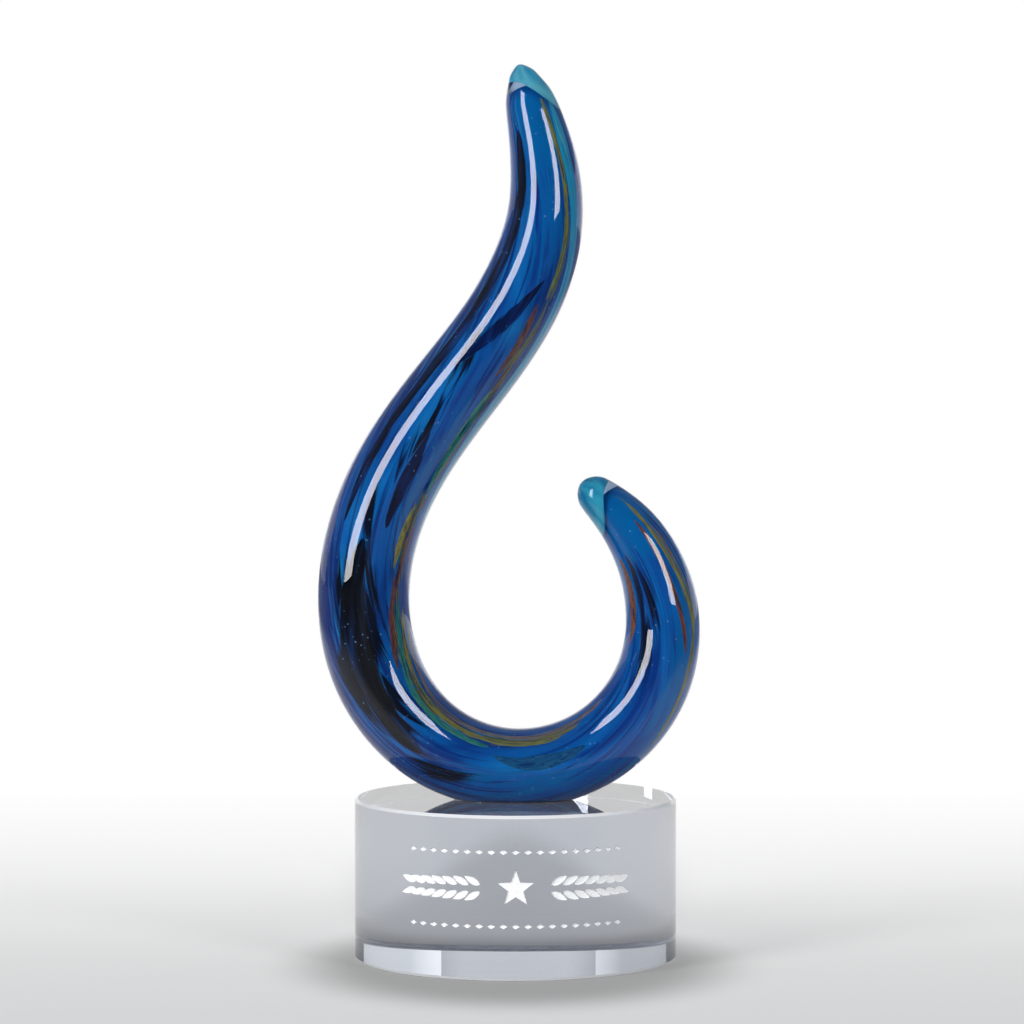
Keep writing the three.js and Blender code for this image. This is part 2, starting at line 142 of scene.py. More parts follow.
points = np.array(CENTRELINE, float)
chord = np.concatenate([[0], np.cumsum(np.hypot(*np.diff(points, axis=0).T))])
across_at = natural_spline(chord, points[:, 0])
up_at = natural_spline(chord, points[:, 1])
parameters = np.linspace(0, chord[-1], 6001)
fine = np.stack([across_at(parameters), up_at(parameters)], axis=1) * MM
arc = np.concatenate([[0], np.cumsum(np.hypot(*np.diff(fine, axis=0).T))])
ROD_LENGTH = arc[-1]
lowest_share = arc[int(np.argmin(fine[:, 1]))] / ROD_LENGTH
LOWEST_Z = FOOT_Z + float(half_width_mm(lowest_share)) * MM - FOOT_GRIND
smooth_tangent = np.gradient(fine, arc, axis=0)
smooth_tangent /= np.linalg.norm(smooth_tangent, axis=1)[:, None]

# Canes lie on the stretch between the two turquoise ends.
CANE_FIRST = CAP_LENGTH + SEAM_GAP
CANE_STRETCH = ROD_LENGTH - HOOK_TIP_LENGTH - SEAM_GAP - CANE_FIRST


def half_width(lengths):
    return half_width_mm(np.asarray(lengths) / ROD_LENGTH) * MM


def rod_points(lengths, degrees, under=0.0, scale=1.0, shift=0.0):
    """Points in the rod at lengths along it and angles round it (0 = normal, 90 = front).

    `under` is the depth below the skin, `scale` shrinks the section towards the centreline, and `shift`
    moves the section against the normal.
    """
    lengths, degrees = np.broadcast_arrays(np.asarray(lengths, float), np.asarray(degrees, float))
    x = np.interp(lengths, arc, fine[:, 0])
    z = np.interp(lengths, arc, fine[:, 1])
    tx = np.interp(lengths, arc, smooth_tangent[:, 0])
    tz = np.interp(lengths, arc, smooth_tangent[:, 1])
    width = (half_width(lengths) - under) * scale
    depth = (half_width(lengths) * ROD_DEPTH_RATIO - under) * scale
    angle = np.radians(degrees)
    along_normal = width * np.cos(angle) - shift
    return np.stack(
        [
            x - tz * along_normal,
            ROD_Y - depth * np.sin(angle),
            LOWEST_Z + z + tx * along_normal,
        ],
        axis=-1,
    )


# ---- meshes -----------------------------------------------------------------------------------------
def mesh_object(name, vertices, faces, uvs=None):
    """A smooth-shaded object from arrays. `uvs` holds one (u, v) list per layer name, per loop."""
    mesh = bpy.data.meshes.new(name)
    mesh.from_pydata([tuple(v) for v in vertices], [], faces)
    mesh.shade_smooth()
    for layer, values in (uvs or {}).items():
        mesh.uv_layers.new(name=layer).data.foreach_set("uv", np.asarray(values, np.float32).ravel())
    mesh.update()
    piece = bpy.data.objects.new(name, mesh)
    bpy.context.scene.collection.objects.link(piece)
    return piece


def tube(name, rings, first_pole, last_pole, ring_uv):
    """A closed skin over rings of points (stations x sides x 3) with a pole at each end."""
    stations, sides = rings.shape[:2]
    vertices = np.concatenate([rings.reshape(-1, 3), [first_pole, last_pole]])
    first, last = stations * sides, stations * sides + 1
    faces, uvs = [], []
    share, turn = ring_uv
    for k in range(sides):
        after = (k + 1) % sides
        v0, v1 = turn[k], turn[k + 1]
        faces.append((first, after, k))
        uvs += [(share[0], (v0 + v1) / 2), (share[0], v1), (share[0], v0)]
        for i in range(stations - 1):
            a, b = i * sides + k, i * sides + after
            faces.append((a, b, b + sides, a + sides))
            uvs += [(share[i], v0), (share[i], v1), (share[i + 1], v1), (share[i + 1], v0)]
        tail = (stations - 1) * sides
        faces.append((last, tail + k, tail + after))
        uvs += [(share[-1], (v0 + v1) / 2), (share[-1], v0), (share[-1], v1)]
    return mesh_object(name, vertices, faces, {"Rod": uvs})


def rod_lengths(start, stop, round_start, round_stop, step):
    """Stations from start to stop, crowded in the rounded ends."""
    easing = 1 - np.cos(np.linspace(0.06, math.pi / 2, 22))
    head = start + round_start * easing if round_start else np.array([start])
    tail = stop - round_stop * easing[::-1] if round_stop else np.array([stop])
    middle = np.linspace(head[-1], tail[0], max(3, int((tail[0] - head[-1]) / step)))
    return np.concatenate([head, middle[1:-1], tail])


def rod_piece(name, start, stop, round_start, round_stop, under, sides=112, step=0.75 * MM):
    """The rod between two lengths, `under(lengths)` below its skin, with rounded or flat ends."""
    lengths = rod_lengths(start, stop, round_start, round_stop, step)

    def rounding(distance, reach):
        if not reach:
            return np.ones_like(distance)
        return np.sqrt(np.clip(1 - (1 - np.clip(distance / reach, 0, 1)) ** 2, 0, 1))

    scale = rounding(lengths - start, round_start) * rounding(stop - lengths, round_stop)
    angles = np.arange(sides) * 360 / sides
    depth, shift = under(lengths)
    rings = rod_points(lengths[:, None], angles[None, :], depth[:, None], scale[:, None], shift[:, None])
    poles = [rod_points(end, 0, 0, 0, shift[place]) for end, place in ((start, 0), (stop, -1))]
    return tube(name, rings, *poles, (lengths / ROD_LENGTH, np.arange(sides + 1) / sides))


def cut_flat(piece, height):
    """Grinds everything below a height away and leaves a flat, crisp face."""
    work = bmesh.new()
    work.from_mesh(piece.data)
    everything = work.verts[:] + work.edges[:] + work.faces[:]
    cut = bmesh.ops.bisect_plane(
        work, geom=everything, plane_co=(0, 0, height), plane_no=(0, 0, 1), clear_inner=True
    )
    edges = [item for item in cut["geom_cut"] if isinstance(item, bmesh.types.BMEdge)]
    filled = bmesh.ops.triangle_fill(work, edges=edges, use_beauty=True)
    for item in filled["geom"]:
        if isinstance(item, bmesh.types.BMFace):
            item.smooth = False
    for edge in edges:
        edge.smooth = False
    bmesh.ops.recalc_face_normals(work, faces=work.faces)
    work.to_mesh(piece.data)
    work.free()


def cane_piece(name, along, angles, widths, proud=0.12 * MM, sunk=0.5 * MM, across=10):
    """A thin ribbon lying along the core, a little proud of its surface, with tapered ends."""
    steps = max(24, int(260 * (along[1] - along[0])))
    t = 0.5 - 0.5 * np.cos(np.linspace(0, math.pi, steps))
    lengths = CANE_FIRST + (along[0] + (along[1] - along[0]) * t) * CANE_STRETCH
    depth, shift = under_core(lengths)
    reach = half_width(lengths) - depth
    from_end = np.minimum(t, 1 - t) * (along[1] - along[0]) * CANE_STRETCH
    taper = np.sqrt(np.clip(from_end / (CANE_TAPER * max(widths) * MM), 0.01, 1))
    half = np.degrees(spread(widths)(t) * MM / 2 * taper / reach)
    sides = np.linspace(-1, 1, across + 1)
    degrees = spread(angles)(t)[:, None] + sides[None, :] * half[:, None]
    crown = proud * (1 - sides**2) * taper[:, None]
    top = rod_points(lengths[:, None], degrees, depth[:, None] - crown + 0.02 * MM, 1, shift[:, None])
    bottom = rod_points(
        lengths[:, None], degrees[:, 1:-1], depth[:, None] + sunk * taper[:, None], 1, shift[:, None]
    )
    rings = np.concatenate([top, bottom[:, ::-1]], axis=1)
    count = rings.shape[1]
    poles = [rings[0].mean(axis=0), rings[-1].mean(axis=0)]
    sheet = np.concatenate([sides, sides[1:-1][::-1], sides[:1]]) * 0.5 + 0.5
    piece = tube(name, rings, *poles, (t, sheet))
    turns = np.concatenate([degrees, degrees[:, 1:-1][:, ::-1], degrees[:, :1]], axis=1) / 360
    rod_uv(piece, lengths / ROD_LENGTH, turns, count)
    return piece


# The core starts this far from each end, under a dome.
CORE_START = 7.2 * MM
CORE_ROUNDING = 5 * MM
# The hoods lie this far under the skin of the rod.
HOOD_UNDER = 0.45 * MM
# A cane narrows over this many times its width at each end.
CANE_TAPER = 3


def rod_uv(piece, shares, turns, sides):
    """Adds the place on the rod (share of its length, turn round it) as the layer "Place"."""
    values = []
    stations = len(shares)
    for k in range(sides):
        middle = (turns[0, k] + turns[0, k + 1]) / 2
        values += [(shares[0], middle), (shares[0], turns[0, k + 1]), (shares[0], turns[0, k])]
        for i in range(stations - 1):
            a, b = turns[i, k], turns[i, k + 1]
            c, d = turns[i + 1, k + 1], turns[i + 1, k]
            values += [(shares[i], a), (shares[i], b), (shares[i + 1], c), (shares[i + 1], d)]
        middle = (turns[-1, k] + turns[-1, k + 1]) / 2
        values += [(shares[-1], middle), (shares[-1], turns[-1, k]), (shares[-1], turns[-1, k + 1])]
    layer = piece.data.uv_layers.new(name="Place")
    layer.data.foreach_set("uv", np.asarray(values, np.float32).ravel())


def under_core(lengths):
    """Depth of the core below the skin, and how far its section is moved against the normal."""
    share = np.asarray(lengths) / ROD_LENGTH
    added = clear_added_mm(share) * MM
    return clear_all_round_mm(share) * MM + added / 2, added / 2


def hood(name, end, direction, rounding, short, long, towards):
    """Coloured glass drawn over one end of the core, longest on the side at `towards` degrees."""
    sides = 72
    angles = np.arange(sides) * 360 / sides
    lobe = (0.5 + 0.5 * np.cos(np.radians(angles - towards))) ** 3
    rim = short + (long - short) * lobe
    first = 0.7 * MM
    easing = 1 - np.cos(np.linspace(0.08, math.pi / 2, 30))
    rings = []
    for share in easing:
        along = first + (rim - first) * share
        scale = np.sqrt(np.clip(1 - (1 - np.clip((along - first) / rounding, 0, 1)) ** 2, 0, 1))
        rings.append(rod_points(end + direction * along, angles, HOOD_UNDER, scale))
    apex = CORE_START - 0.9 * MM
    for share in np.linspace(0.06, 0.97, 24):
        along = rim * (1 - share) + np.minimum(apex, rim * 0.9) * share
        room = half_width(end + direction * along) - HOOD_UNDER
        into = np.clip((along - CORE_START) / CORE_ROUNDING, 0, 1)
        dome = np.where(into > 0, np.sqrt(1 - (1 - into) ** 2) * (room - 0.7 * MM) + 0.35 * MM, 0)
        scale = np.clip(np.maximum(dome / room, (1 - share)), 0, 0.985)
        rings.append(rod_points(end + direction * along, angles, HOOD_UNDER, scale))
    poles = [rod_points(end + direction * first, 0, 0, 0), rings[-1].mean(axis=0)]
    turns = np.arange(sides + 1) / sides
    piece = tube(name, np.stack(rings), *poles, (np.linspace(0, 0.05, len(rings)), turns))
    if direction < 0:
        piece.data.flip_normals()
    return piece


def under_nothing(lengths):
    return np.zeros_like(lengths), np.zeros_like(lengths)


# ---- materials --------------------------------------------------------------------------------------
def material(name):
    made = bpy.data.materials.new(name)
    made.use_nodes = True
    nodes = made.node_tree.nodes
    return made, nodes, made.node_tree.links, nodes["Principled BSDF"]


def rgb(code):
    """A linear colour from a six-digit sRGB code."""
    parts = [int(code[i : i + 2], 16) / 255 for i in (0, 2, 4)]
    return (*[p / 12.92 if p <= 0.04045 else ((p + 0.055) / 1.055) ** 2.4 for p in parts], 1)


def absorb(nodes, links, colour, density):
    """Light lost on the way through the glass."""
    absorption = nodes.new("ShaderNodeVolumeAbsorption")
    absorption.inputs["Color"].default_value = colour
    absorption.inputs["Density"].default_value = density
    links.new(absorption.outputs[0], nodes["Material Output"].inputs["Volume"])


def clear_glass(name, absorbed, density, waviness=0.0):
    """Clear glass that takes light away inside, with an optional slow waviness of its skin."""
    made, nodes, links, shader = material(name)
    shader.inputs["Base Color"].default_value = (1, 1, 1, 1)
    shader.inputs["Transmission Weight"].default_value = 1
    shader.inputs["Roughness"].default_value = 0.0
    shader.inputs["IOR"].default_value = 1.5
    absorb(nodes, links, absorbed, density)
    if waviness:
        ripple = nodes.new("ShaderNodeTexNoise")
        ripple.inputs["Scale"].default_value = 28
        ripple.inputs["Detail"].default_value = 1
        bump = nodes.new("ShaderNodeBump")
        bump.inputs["Strength"].default_value = waviness
        bump.inputs["Distance"].default_value = 1 * MM
        place = nodes.new("ShaderNodeTexCoord")
        links.new(place.outputs["Object"], ripple.inputs["Vector"])
        links.new(ripple.outputs["Fac"], bump.inputs["Height"])
        links.new(bump.outputs["Normal"], shader.inputs["Normal"])
    return made


def ramp(nodes, stops):
    made = nodes.new("ShaderNodeValToRGB")
    band = made.color_ramp
    while len(band.elements) < len(stops):
        band.elements.new(0.5)
    for element, (place, colour) in zip(band.elements, stops):
        element.position = place
        element.color = colour
    return made


GREY = {v: (v, v, v, 1) for v in (0, 1)}


def calculate(nodes, links, operation, *values):
    """A math node; each value is a socket or a number."""
    made = nodes.new("ShaderNodeMath")
    made.operation = operation
    for socket, value in zip(made.inputs, values):
        if isinstance(value, (int, float)):
            socket.default_value = value
        else:
            links.new(value, socket)
    return made.outputs[0]


def streak_vector(nodes, links, layer, lengthwise, crosswise, twist=0.0):
    """A seamless vector from the place on the rod: slow along it, quick round it, with turns of twist."""
    source = nodes.new("ShaderNodeUVMap")
    source.uv_map = layer
    split = nodes.new("ShaderNodeSeparateXYZ")
    links.new(source.outputs[0], split.inputs[0])

    along, round_it = split.outputs["X"], split.outputs["Y"]
    twisted = calculate(nodes, links, "MULTIPLY_ADD", along, twist, round_it)
    turn = calculate(nodes, links, "MULTIPLY", twisted, 2 * math.pi)
    joined = nodes.new("ShaderNodeCombineXYZ")
    links.new(calculate(nodes, links, "MULTIPLY", along, lengthwise), joined.inputs["X"])
    for trigonometry, axis in (("COSINE", "Y"), ("SINE", "Z")):
        swing = calculate(nodes, links, trigonometry, turn)
        links.new(calculate(nodes, links, "MULTIPLY", swing, crosswise), joined.inputs[axis])
    return joined.outputs[0]


def noise(nodes, links, vector, scale=1.0, detail=3.0, distortion=0.0, roughness=0.5):
    made = nodes.new("ShaderNodeTexNoise")
    made.inputs["Scale"].default_value = scale
    made.inputs["Detail"].default_value = detail
    made.inputs["Distortion"].default_value = distortion
    made.inputs["Roughness"].default_value = roughness
    links.new(vector, made.inputs["Vector"])
    return made.outputs["Fac"]


def mix(nodes, links, factor, first, second):
    """Colour mix; each input is a socket or a colour."""
    made = nodes.new("ShaderNodeMix")
    made.data_type = "RGBA"
    sockets = [made.inputs[0], made.inputs[6], made.inputs[7]]
    for socket, value in zip(sockets, (factor, first, second)):
        if isinstance(value, (int, float, tuple)):
            socket.default_value = value
        else:
            links.new(value, socket)
    return made.outputs[2]


def flecks_with_painted_glint(nodes, links, scale, colour, brightness):
    """Tiny bubbles and metal flecks, as pale blue specks mixed over another colour: the flecks are the
    glass's own, their brightness a painted glint.
    """
    place = nodes.new("ShaderNodeTexCoord")
    flecks = nodes.new("ShaderNodeTexVoronoi")
    flecks.inputs["Scale"].default_value = scale
    links.new(place.outputs["Object"], flecks.inputs["Vector"])
    spark = ramp(nodes, [(0.07, (brightness, brightness, brightness, 1)), (0.14, GREY[0])])
    links.new(flecks.outputs["Distance"], spark.inputs[0])
    clusters = ramp(nodes, [(0.44, GREY[0]), (0.54, GREY[1])])
    links.new(noise(nodes, links, place.outputs["Object"], 90, 2), clusters.inputs[0])
    lit = mix(nodes, links, clusters.outputs[0], GREY[0], spark.outputs[0])
    return mix(nodes, links, lit, colour, rgb("8CCBFF"))


# The cobalt glass from its darker to its lighter streaks.
BLUES = [(0.32, "164FAC"), (0.45, "1A72CE"), (0.58, "188AE2"), (0.72, "2AAAEE")]


def core_colour(nodes, links, layer):
    """The cobalt glass: lengthwise streaks of lighter and darker blue."""
    broad = noise(nodes, links, streak_vector(nodes, links, layer, 9, 1.6, 0.6), 1, 3, 0.8)
    blues = ramp(nodes, [(place, rgb(code)) for place, code in BLUES])
    links.new(broad, blues.inputs[0])
    fine = noise(nodes, links, streak_vector(nodes, links, layer, 7, 9, 0.5), 1, 4, 0.4)
    lines = ramp(nodes, [(0.36, GREY[1]), (0.48, GREY[0])])
    links.new(fine, lines.inputs[0])
    streaked = mix(nodes, links, lines.outputs[0], blues.outputs[0], rgb("18489C"))
    thin = noise(nodes, links, streak_vector(nodes, links, layer, 6, 17, 0.5), 1, 3, 0.3)
    glints = ramp(nodes, [(0.6, GREY[0]), (0.72, (0.55, 0.55, 0.55, 1))])
    links.new(thin, glints.inputs[0])
    return mix(nodes, links, glints.outputs[0], streaked, rgb("2F9AE8"))


def finish_core(made, nodes, links, shader, colour):
    links.new(colour, shader.inputs["Base Color"])
    shader.inputs["Roughness"].default_value = 0.6
    shader.inputs["Specular IOR Level"].default_value = 0
    return made


def cobalt():
    made, nodes, links, shader = material("cobalt_glass")
    colour = core_colour(nodes, links, "Rod")
    zones = nodes.new("ShaderNodeVertexColor")
    zones.layer_name = "Tint"
    split = nodes.new("ShaderNodeSeparateColor")
    links.new(zones.outputs[0], split.inputs[0])
    streaks = noise(nodes, links, streak_vector(nodes, links, "Rod", 9, 5, 1.1), 1, 4, 0.5, 0.6)
    feather = calculate(nodes, links, "MULTIPLY", streaks, 0.9)

    def feathered(zone):
        """A painted zone whose edge is broken up into streaks."""
        edge = ramp(nodes, [(0.66, GREY[0]), (0.75, GREY[1])])
        links.new(calculate(nodes, links, "MULTIPLY_ADD", zone, 0.5, feather), edge.inputs[0])
        return edge.outputs[0]

    fine = noise(nodes, links, streak_vector(nodes, links, "Rod", 3, 15), 1, 3, 0.2)
    palette = ramp(
        nodes,
        [
            (0.34, rgb("1F5C9C")), (0.4, rgb("2EA8A0")), (0.45, rgb("C0B84C")), (0.485, rgb("12284C")),
            (0.52, rgb("B06A4C")), (0.56, rgb("C8B070")), (0.6, rgb("173A70")), (0.66, rgb("2E9AA0")),
        ],
    )
    links.new(fine, palette.inputs[0])
    threads = nodes.new("ShaderNodeVertexColor")
    threads.layer_name = "Threads"
    threads_split = nodes.new("ShaderNodeSeparateColor")
    links.new(threads.outputs[0], threads_split.inputs[0])
    colour = mix(nodes, links, feathered(threads_split.outputs["Red"]), colour, palette.outputs[0])
    colour = mix(nodes, links, feathered(split.outputs["Green"]), colour, rgb("144398"))
    colour = mix(nodes, links, feathered(split.outputs["Red"]), colour, rgb("0C86D4"))
    colour = mix(nodes, links, feathered(split.outputs["Blue"]), colour, rgb("182236"))
    return finish_core(made, nodes, links, shader, flecks_with_painted_glint(nodes, links, 430, colour, 0.5))


def dark_glass(name, ragged_from, codes):
    """Nearly black glass in ragged streaks, with the cobalt showing through at its edges."""
    made, nodes, links, shader = material(name)
    blue = core_colour(nodes, links, "Place")
    body = noise(nodes, links, streak_vector(nodes, links, "Place", 14, 4), 1, 4, 0.6)
    tones = ramp(nodes, [(place, rgb(code)) for place, code in zip((0.35, 0.5, 0.62, 0.72), codes)])
    links.new(body, tones.inputs[0])
    sheet = nodes.new("ShaderNodeUVMap")
    sheet.uv_map = "Rod"
    split = nodes.new("ShaderNodeSeparateXYZ")
    links.new(sheet.outputs[0], split.inputs[0])
    from_edge = calculate(nodes, links, "PINGPONG", split.outputs["Y"], 0.5)
    ragged = noise(nodes, links, streak_vector(nodes, links, "Place", 13, 6), 1, 4, 0.6)
    edge = ramp(nodes, [(ragged_from, GREY[0]), (ragged_from + 0.14, GREY[1])])
    links.new(calculate(nodes, links, "MULTIPLY_ADD", from_edge, 1.1, ragged), edge.inputs[0])
    dark = flecks_with_painted_glint(nodes, links, 640, tones.outputs[0], 0.85)
    return finish_core(made, nodes, links, shader, mix(nodes, links, edge.outputs[0], blue, dark))


def cane_glass(name, first, second, third):
    """Drawn cane: fine threads of three colours side by side, running lengthwise."""
    made, nodes, links, shader = material(name)
    sheet = nodes.new("ShaderNodeUVMap")
    sheet.uv_map = "Rod"
    stretch = nodes.new("ShaderNodeMapping")
    stretch.inputs["Scale"].default_value = (3, 2.6, 1)
    links.new(sheet.outputs[0], stretch.inputs[0])
    threads = noise(nodes, links, stretch.outputs[0], 1, 3, 0.3)
    tones = ramp(
        nodes,
        [
            (0.34, rgb(third)), (0.4, rgb(first)), (0.46, rgb(first)), (0.49, rgb(third)),
            (0.53, rgb(second)), (0.6, rgb(first)), (0.64, rgb(third)), (0.7, rgb(second)),
        ],
    )
    links.new(threads, tones.inputs[0])
    return finish_core(made, nodes, links, shader, tones.outputs[0])


def tinted_glass(name, colour, deeper):
    """See-through coloured glass fused into the casing, so light doesn't bend at its surface."""
    made, nodes, links, shader = material(name)
    clouds = noise(nodes, links, streak_vector(nodes, links, "Rod", 60, 1.5), 1, 2, 0.4)
    tones = ramp(nodes, [(0.35, colour), (0.7, deeper)])
    links.new(clouds, tones.inputs[0])
    links.new(tones.outputs[0], shader.inputs["Base Color"])
    shader.inputs["Transmission Weight"].default_value = 0.15
    shader.inputs["Roughness"].default_value = 0.0
    shader.inputs["IOR"].default_value = 1.0
    return made


# ---- cased glass hook -------------------------------------------------------------------------------
def paint(piece, layer_name, zones):
    """Smooth spots of colour on the core.

    A zone is its channel, its middle (place on the canes' stretch, degrees round the rod), how far it
    reaches in each, and its depth.
    """
    mesh = piece.data
    rod = np.empty(len(mesh.loops) * 2, np.float32)
    mesh.uv_layers["Rod"].data.foreach_get("uv", rod)
    share, turn = rod.reshape(-1, 2).T
    place = (share * ROD_LENGTH - CANE_FIRST) / CANE_STRETCH
    colours = np.zeros((len(mesh.loops), 4), np.float32)
    colours[:, 3] = 1
    for channel, centre, degrees, reach, spread_degrees, depth in zones:
        apart = (turn * 360 - degrees + 180) % 360 - 180
        spot = depth * np.exp(-(((place - centre) / reach) ** 2) - (apart / spread_degrees) ** 2)
        colours[:, channel] = np.maximum(colours[:, channel], spot)
    layer = mesh.color_attributes.new(name=layer_name, type="FLOAT_COLOR", domain="CORNER")
    layer.data.foreach_set("color", colours.ravel())


BRIGHT, NAVY, DARK = 0, 1, 2
THREADS = 0
CORE_ZONES = [
    (BRIGHT, 0.0, 80, 0.08, 80, 0.9),
    (BRIGHT, 0.1, 70, 0.12, 40, 0.6),
    (BRIGHT, 0.35, 52, 0.12, 10, 0.7),
    (BRIGHT, 0.7, 110, 0.1, 60, 0.55),
    (BRIGHT, 0.87, 125, 0.08, 28, 0.8),
    (BRIGHT, 0.8, 150, 0.1, 30, 0.6),
    (BRIGHT, 1.0, 90, 0.05, 90, 0.9),
    (BRIGHT, 0.9, 176, 0.14, 16, 0.9),
    (BRIGHT, 0.92, 2, 0.1, 18, 0.8),
    (NAVY, 0.25, 150, 0.2, 45, 0.6),
    (BRIGHT, 0.3, 58, 0.14, 13, 0.55),
    (BRIGHT, 0.38, 128, 0.05, 10, 0.45),
    (NAVY, 0.5, 160, 0.14, 40, 0.8),
    (NAVY, 0.85, 60, 0.1, 30, 0.5),
    (NAVY, 0.3, 90, 0.08, 40, 0.5),
    (NAVY, 0.3, 270, 0.3, 80, 0.6),
    (DARK, 0.24, 100, 0.06, 26, 0.55),
    (DARK, 0.31, 92, 0.06, 20, 0.55),
    (DARK, 0.39, 100, 0.05, 24, 0.55),
    (DARK, 0.9, 64, 0.06, 22, 0.6),
    (DARK, 0.47, 106, 0.07, 36, 0.7),
    (DARK, 0.54, 112, 0.07, 36, 0.75),
    (DARK, 0.57, 95, 0.05, 30, 0.8),
    (DARK, 0.25, 260, 0.16, 24, 0.8),
    (DARK, 0.6, 250, 0.08, 30, 0.8),
    (DARK, 0.49, 78, 0.07, 22, 0.7),
    (DARK, 0.56, 86, 0.06, 26, 0.7),
    (DARK, 0.63, 120, 0.045, 24, 0.6),
]

# Fine coloured threads between the canes.
STEM_THREAD_TURNS = (44, 42, 42)
SHOULDER_THREAD_TURNS = (40, 40, 36, 31)
BELLY_THREAD_TURNS = (34, 34, 36, 38, 38, 36, 34, 30)
HOOK_THREAD_TURNS = (152, 146, 138, 132)
THREAD_ZONES = [
    *((THREADS, 0.06 * i, turn, 0.045, 6, 0.75) for i, turn in enumerate(STEM_THREAD_TURNS)),
    *((THREADS, 0.14 + 0.06 * i, turn, 0.045, 6, 0.8) for i, turn in enumerate(SHOULDER_THREAD_TURNS)),
    *((THREADS, 0.38 + 0.05 * i, turn, 0.045, 10, 0.9) for i, turn in enumerate(BELLY_THREAD_TURNS)),
    *((THREADS, 0.82 + 0.06 * i, turn, 0.05, 9, 0.9) for i, turn in enumerate(HOOK_THREAD_TURNS)),
]

casing = rod_piece("casing", 0, ROD_LENGTH, 3 * MM, 4.4 * MM, under_nothing)
cut_flat(casing, FOOT_Z)
core = rod_piece("core", CORE_START, ROD_LENGTH - CORE_START, CORE_ROUNDING, CORE_ROUNDING, under_core)
cut_flat(core, FOOT_Z + 0.25 * MM)
paint(core, "Tint", CORE_ZONES)
paint(core, "Threads", THREAD_ZONES)

cap = hood("upper_cap", 0, 1, 2.8 * MM, 4.2 * MM, 15 * MM, 8)
hook_tip = hood("hook_tip", ROD_LENGTH, -1, 4 * MM, 5.5 * MM, 15 * MM, 15)

CLEAR = clear_glass("clear_glass", (0.05, 0.34, 0.62, 1), 105, waviness=0.03)
casing.data.materials.append(CLEAR)
core.data.materials.append(cobalt())
TURQUOISE = tinted_glass("turquoise_glass", rgb("80EAFF"), rgb("2CC4F8"))
DEEP_TURQUOISE = tinted_glass("deep_turquoise_glass", rgb("4CD0F0"), rgb("0C96D2"))
cap.data.materials.append(TURQUOISE)
hook_tip.data.materials.append(DEEP_TURQUOISE)

for piece, node, slot in (
    (casing, "clear_casing", "clear_glass"),
    (core, "cobalt_core", "cobalt_glass"),
    (cap, "turquoise_cap", "turquoise_glass"),
    (hook_tip, "turquoise_hook_tip", "turquoise_glass"),
):
    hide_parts(node)
    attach(piece, "root")

CANE_GLASS = {
    "turquoise": ("turquoise_cane", "34DCFF", "70ECFF", "18B4EC"),
    "gold": ("gold_cane", "C8BC58", "A8A452", "34506C"),
    "yellow": ("yellow_cane", "DCC648", "B8AE54", "4E6B58"),
    "rust": ("rust_cane", "AE6650", "8A5248", "2C3A58"),
    "orange": ("orange_cane", "C87044", "A86A58", "3C3C4C"),
    "pink": ("pink_cane", "C0A098", "A8A48C", "3E5878"),
    "green": ("green_cane", "48B49A", "74BC8C", "1E6480"),
    "teal": ("teal_cane", "2C74A4", "3C83AE", "1A4E86"),
}
# Each cane: start and end on the stretch between the turquoise ends, angles round the rod at even steps,
# and width in mm.
CANES = {
    "stem_turquoise_stripe": (
        [0, 0.46], [30, 34, 28, 18, 15, 16, 12, 4, -3, -4], [3.8, 3, 3.4, 3.6, 4, 4],
    ),
    "stem_gold_thread": ([0, 0.165], [55, 52, 49, 45, 46], [1.1, 1.2, 1.1]),
    "stem_rust_ribbon": ([0.17, 0.24], [57, 53, 50, 51], [1.6, 1.9, 1.6]),
    "stem_green_ribbon": ([0.25, 0.365], [42, 39, 35, 30], [2, 2.3, 2.1]),
    "belly_yellow_ribbon": ([0.375, 0.44], [42, 43, 44, 45], [1.8, 2.1, 1.7]),
    "belly_rust_ribbon": ([0.395, 0.54], [29, 31, 38, 45, 49, 54], [1.4, 1.7, 1.5]),
    "belly_green_ribbon": ([0.47, 0.665], [32, 35, 42, 49, 50, 49, 50], [1.5, 1.7, 1.6]),
    "belly_gold_ribbon": ([0.48, 0.74], [22, 28, 36, 39, 37, 38, 38], [1.4, 1.6, 1.5]),
    "belly_pink_thread": ([0.5, 0.8], [12, 19, 26, 25, 24, 20, 18], [1.3, 1.5, 1.4]),
    "hook_gold_thread": ([0.8, 1], [155, 146, 145, 148, 141, 131, 128, 131], [1.1, 1.2, 1]),
    "hook_rust_ribbon": ([0.87, 0.985], [132, 122, 113, 111, 112], [1.3, 1.4, 1.1]),
    "hook_orange_ribbon": ([0.87, 0.965], [20, 28, 28, 27], [2.2, 2.5, 2]),
    "stem_dark_streak": ([0.02, 0.41], [136, 138, 140, 138, 136, 134], [4.4, 4.6, 4.4, 3.8, 3.4, 3]),
    "stem_dark_feather": ([0.15, 0.255], [62, 78, 90, 101, 112], [2.8, 4.2, 3.2]),
    "belly_dark_feather": ([0.31, 0.405], [80, 75, 73, 72], [3, 4.8, 4.4]),
    "belly_dark_mass": ([0.415, 0.615], [98, 101, 103, 104, 104], [11, 12.5, 12]),
    "hook_dark_streak": ([0.835, 0.965], [59, 54, 51, 49, 46], [2.4, 3, 2.4]),
    "belly_teal_fold": ([0.67, 0.76], [64, 73, 74, 71], [4, 4.2]),
}

